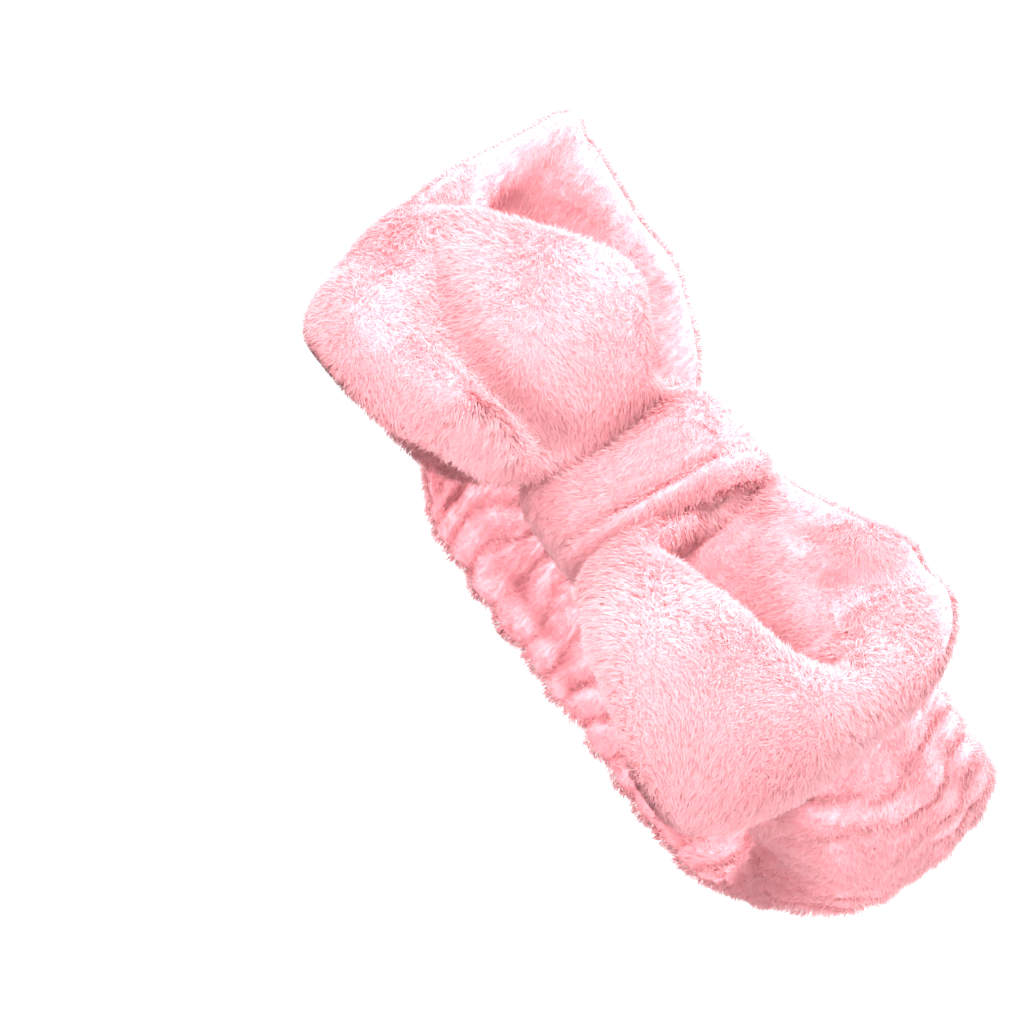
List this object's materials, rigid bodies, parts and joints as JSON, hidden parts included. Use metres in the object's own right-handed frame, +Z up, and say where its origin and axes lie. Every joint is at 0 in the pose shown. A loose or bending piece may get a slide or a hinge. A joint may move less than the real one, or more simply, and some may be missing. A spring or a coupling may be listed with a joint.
{
  "type": "spa headband",
  "caption": "Soft plush headband with a puffy bow: a fleece tube over an elastic ring, with hollow padded loops pinched together by a wrapped knot in front.",
  "frame": {"origin": "under the middle of the whole headband, on the surface it stands on with its lower edge", "axes": "+Z up along the band's width, bow towards -Y, +X towards the wearer's left, the right-hand loop as seen from the front"},
  "size_m": [0.234, 0.1836, 0.102],
  "materials": {
    "plush": "long soft pile, matt",
    "elastic": "woven, slightly shiny",
    "thread": "spun polyester, satin"
  },
  "bodies": {
    "front": {"band_cover_front": "plush", "band_seam_front": "thread", "band_closing_seam": "thread", "elastic_band": "elastic", "elastic_lap_stitch": "thread", "bow_waist": "plush", "bow_gather_thread": "thread", "bow_strip_end_stitch": "thread", "knot_wrap": "plush", "knot_closing_stitch": "thread"},
    "back": {"band_cover_back": "plush", "band_seam_back": "thread"},
    "left_loop": {"bow_loop_left": "plush", "bow_loop_seam_left": "thread"},
    "right_loop": {"bow_loop_right": "plush", "bow_loop_seam_right": "thread"}
  },
  "joints": [
    {"name": "band_stretch", "type": "slide", "parent": "front", "child": "back", "axis": [0, 1, 0], "range_m": [0, 0.03], "stiffness_N_per_m": 100, "deforming": ["elastic_band"]},
    {"name": "left_loop_bend", "type": "hinge", "parent": "front", "child": "left_loop", "pos_m": [-0.0262, -0.0474, 0.053], "axis": [0, 0, 1], "range_deg": [0, 30], "stiffness_Nm_per_rad": 0.05},
    {"name": "right_loop_bend", "type": "hinge", "parent": "front", "child": "right_loop", "pos_m": [0.0262, -0.0474, 0.053], "axis": [0, 0, -1], "range_deg": [0, 30], "stiffness_Nm_per_rad": 0.05}
  ]
}
